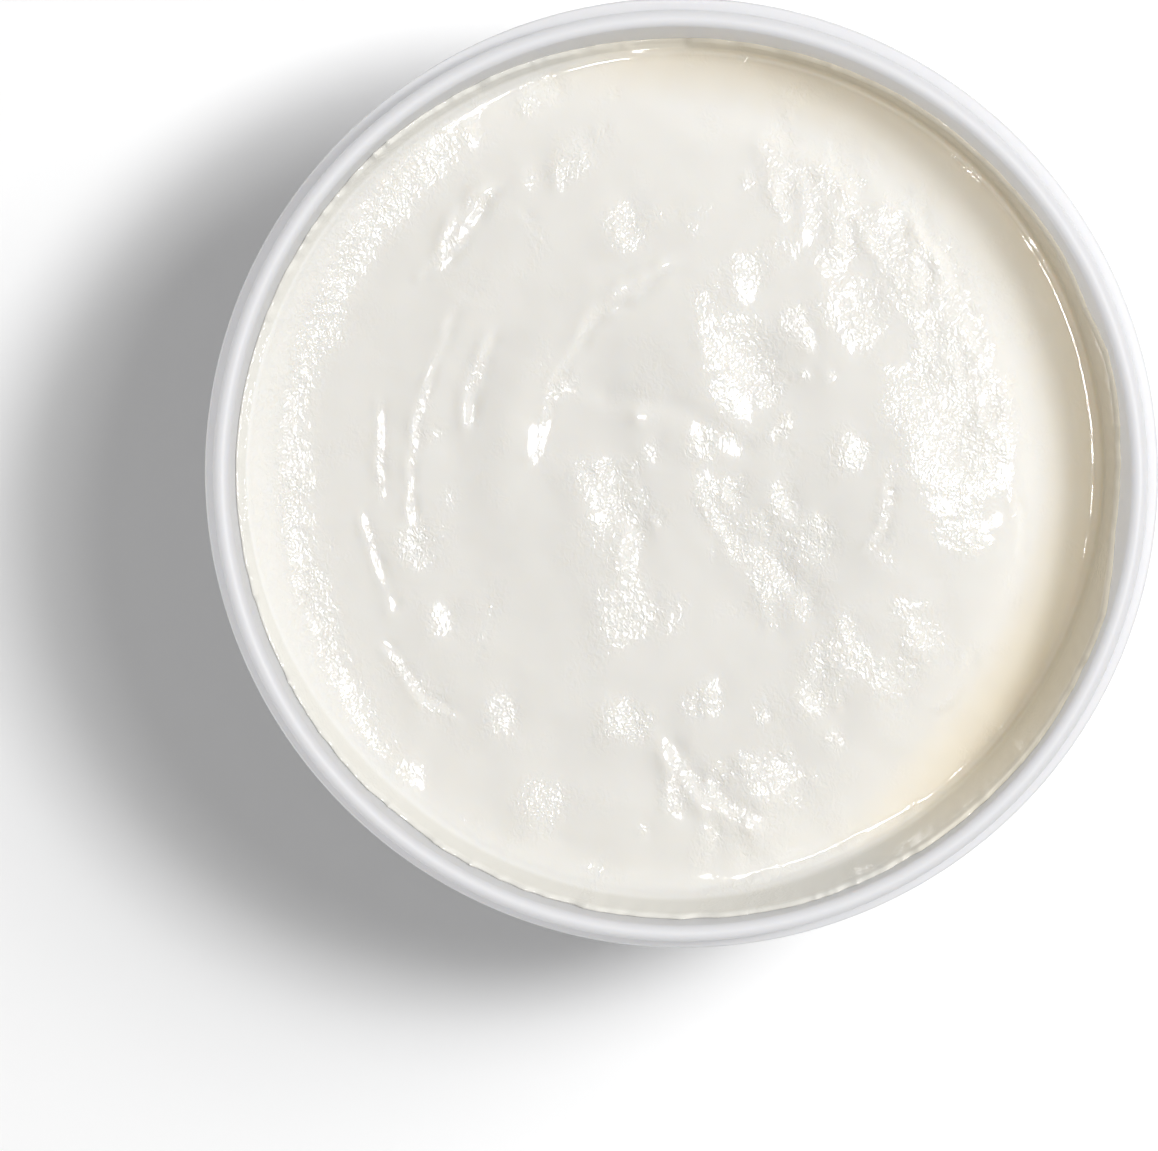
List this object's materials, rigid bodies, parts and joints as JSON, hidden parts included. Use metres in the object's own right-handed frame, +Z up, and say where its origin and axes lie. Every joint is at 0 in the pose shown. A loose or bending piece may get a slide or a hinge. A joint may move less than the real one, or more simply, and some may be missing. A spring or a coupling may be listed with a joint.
{
  "type": "tub of yogurt",
  "caption": "Round white plastic tub with a rolled rim and a lid ledge, filled with thick stirred yogurt whose surface keeps the swirl of the spoon.",
  "frame": {"origin": "centre of the foot, on the surface the tub stands on", "axes": "+Z up out of the mouth, +X to the right of the picture, +Y to the top of the picture"},
  "size_m": [0.117, 0.117, 0.045],
  "materials": {
    "tub": "satin white moulded polypropylene",
    "yogurt": null
  },
  "bodies": {
    "root": {"tub": "tub", "yogurt": "yogurt"}
  },
  "joints": []
}
